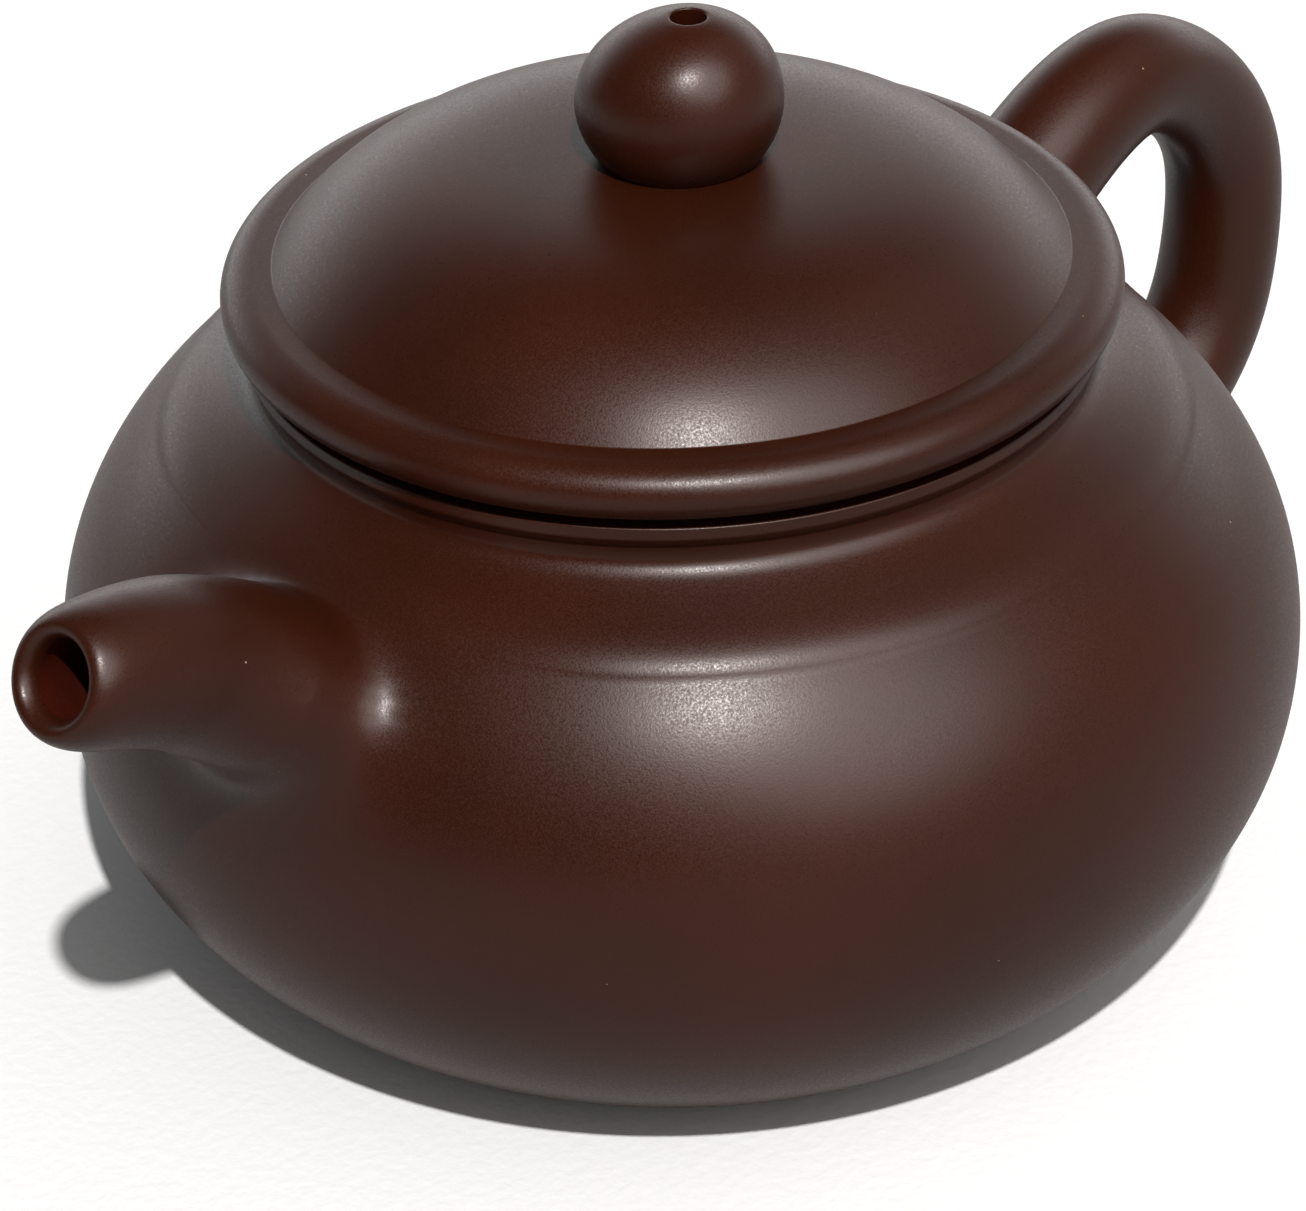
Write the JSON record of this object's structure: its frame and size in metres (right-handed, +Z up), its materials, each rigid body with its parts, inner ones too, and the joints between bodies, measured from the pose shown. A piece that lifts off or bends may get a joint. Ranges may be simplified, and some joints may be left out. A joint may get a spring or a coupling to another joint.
{
  "type": "teapot",
  "caption": "Small unglazed clay teapot: flattened round body with a ridged shoulder, short curved spout, ear-shaped handle, and a lift-off domed lid with a ball knob.",
  "frame": {"origin": "on the pot's axis, in the plane of the flat underside that it stands on", "axes": "+Z up along the pot's axis, the spout points along -X and the handle along +X, +Y completes a right-handed frame"},
  "size_m": [0.1448, 0.1, 0.0778],
  "materials": {
    "burnished_clay": "unglazed dark brown clay, burnished to a satin sheen, with a very fine grain",
    "bare_clay": "the same clay unburnished, matt and a little redder"
  },
  "bodies": {
    "pot": {"base_disc": "burnished_clay", "belly_wall": "burnished_clay", "shoulder_disc": "burnished_clay", "neck_ring": "burnished_clay", "mouth_line": "burnished_clay", "spout_tube": "burnished_clay", "spout_strainer": "bare_clay", "handle_loop": "burnished_clay"},
    "lid": {"lid_rim": "burnished_clay", "lid_dome": "burnished_clay", "lid_flange": "bare_clay", "lid_knob": "burnished_clay"}
  },
  "joints": [
    {"name": "lid_lift", "type": "slide", "parent": "pot", "child": "lid", "axis": [0, 0, 1], "range_m": [0, 0.06]}
  ]
}
